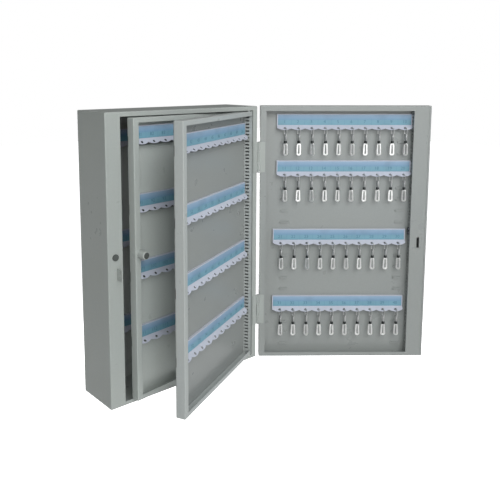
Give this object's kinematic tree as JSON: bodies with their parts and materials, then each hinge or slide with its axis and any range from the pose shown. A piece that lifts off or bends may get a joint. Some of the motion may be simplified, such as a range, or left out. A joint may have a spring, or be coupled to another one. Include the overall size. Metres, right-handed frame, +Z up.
{
  "type": "key cabinet",
  "caption": "Wall key cabinet in light grey steel: lockable hinged door, swing panels inside, and numbered hook rails with swivel key clips.",
  "frame": {"origin": "middle of the four wall fixing holes, on the outer face of the back panel", "axes": "+X to the right seen from the front, towards the hinges; +Y back into the wall; +Z up"},
  "size_m": [0.6593, 0.3311, 0.551],
  "materials": {
    "grey_paint": "light grey powder coat, satin, with a faint green tint",
    "rail_paint": "light grey powder coat, satin",
    "number_cards": "blue printed card, matte",
    "clip_chrome": "bright nickel plate",
    "lock_chrome": "bright nickel plate",
    "bare_steel": "zinc plated, satin",
    "dark_screws": "black oxide, satin",
    "white_nylon": "natural nylon",
    "black_rubber": "matte"
  },
  "bodies": {
    "cabinet": {"cabinet_shell": "grey_paint", "back_panel": "grey_paint", "pivot_plate_bottom": "grey_paint", "pivot_plate_top": "grey_paint", "pivot_washers": "white_nylon", "strike_tab": "grey_paint", "door_buffer": "black_rubber", "hinge_lower_frame_leaf": "grey_paint", "hinge_upper_frame_leaf": "grey_paint", "hinge_lower_pin": "bare_steel", "hinge_upper_pin": "bare_steel", "back_rail_1": "rail_paint", "back_rail_2": "rail_paint", "back_rail_3": "rail_paint", "back_cards": "number_cards"},
    "door": {"door_tray": "grey_paint", "door_channel_cover": "grey_paint", "door_slot_strip": "grey_paint", "hinge_lower_door_leaf": "grey_paint", "hinge_upper_door_leaf": "grey_paint", "door_rail_1": "rail_paint", "door_rail_2": "rail_paint", "door_rail_3": "rail_paint", "door_rail_4": "rail_paint", "door_cards": "number_cards", "lock_barrel": "lock_chrome", "lock_nut": "bare_steel", "lock_guide": "bare_steel", "lock_screws": "dark_screws"},
    "lock_plug": {"lock_plug": "lock_chrome"},
    "lock_bolt": {"lock_bolt": "bare_steel"},
    "leaf_a": {"leaf_a_tray": "grey_paint", "leaf_a_slot_strip": "grey_paint", "leaf_a_pivot_pins": "bare_steel", "leaf_a_rail_1": "rail_paint", "leaf_a_rail_2": "rail_paint", "leaf_a_rail_3": "rail_paint", "leaf_a_rail_4": "rail_paint", "leaf_a_cards": "number_cards"},
    "leaf_b": {"leaf_b_tray": "grey_paint", "leaf_b_slot_strip": "grey_paint", "leaf_b_pivot_pins": "bare_steel", "leaf_b_rail_1": "rail_paint", "leaf_b_rail_2": "rail_paint", "leaf_b_rail_3": "rail_paint", "leaf_b_rail_4": "rail_paint", "leaf_b_cards": "number_cards", "leaf_b_knob": "grey_paint", "leaf_b_knob_tip": "black_rubber", "leaf_b_knob_screw": "bare_steel"},
    "clips_row_1": {"clip_hooks_1": "clip_chrome", "clip_loops_1": "clip_chrome"},
    "clips_row_2": {"clip_hooks_2": "clip_chrome", "clip_loops_2": "clip_chrome"},
    "clips_row_3": {"clip_hooks_3": "clip_chrome", "clip_loops_3": "clip_chrome"},
    "clips_row_4": {"clip_hooks_4": "clip_chrome", "clip_loops_4": "clip_chrome"}
  },
  "joints": [
    {"name": "door_hinge", "type": "hinge", "parent": "cabinet", "child": "door", "pos_m": [0.1837, -0.10132, 0], "axis": [0, 0, 1], "range_deg": [-140.5, 39.5]},
    {"name": "leaf_a_pivot", "type": "hinge", "parent": "cabinet", "child": "leaf_a", "pos_m": [0.1602, -0.0954, 0], "axis": [0, 0, 1], "range_deg": [-25.3, 7.2]},
    {"name": "leaf_b_pivot", "type": "hinge", "parent": "cabinet", "child": "leaf_b", "pos_m": [0.1602, -0.0744, 0], "axis": [0, 0, 1], "range_deg": [-7.25, 2.1]},
    {"name": "lock_turn", "type": "hinge", "parent": "door", "child": "lock_plug", "pos_m": [0.46052, -0.30837, 0.0035], "axis": [0.6361, 0.7716, 0], "range_deg": [0, 90]},
    {"name": "bolt_slide", "type": "slide", "parent": "door", "child": "lock_bolt", "axis": [0.7716, -0.6361, 0], "range_m": [0, 0.00566]},
    {"name": "clips_row_1_swing", "type": "hinge", "parent": "door", "child": "clips_row_1", "pos_m": [0.33022, -0.21222, 0.22764], "axis": [-0.7716, 0.6361, 0], "range_deg": [-5, 12]},
    {"name": "clips_row_2_swing", "type": "hinge", "parent": "door", "child": "clips_row_2", "pos_m": [0.33022, -0.21222, 0.12763], "axis": [-0.7716, 0.6361, 0], "range_deg": [-5, 12]},
    {"name": "clips_row_3_swing", "type": "hinge", "parent": "door", "child": "clips_row_3", "pos_m": [0.32521, -0.20808, -0.02236], "axis": [-0.7716, 0.6361, 0], "range_deg": [-5, 12]},
    {"name": "clips_row_4_swing", "type": "hinge", "parent": "door", "child": "clips_row_4", "pos_m": [0.32521, -0.20808, -0.17236], "axis": [-0.7716, 0.6361, 0], "range_deg": [-5, 12]}
  ],
  "couplings": [
    {"joint": "leaf_a_pivot", "follows": "door_hinge", "ratio": 0.18},
    {"joint": "leaf_b_pivot", "follows": "door_hinge", "ratio": 0.05125},
    {"joint": "bolt_slide", "follows": "lock_turn", "m_per_rad": 0.0036}
  ]
}
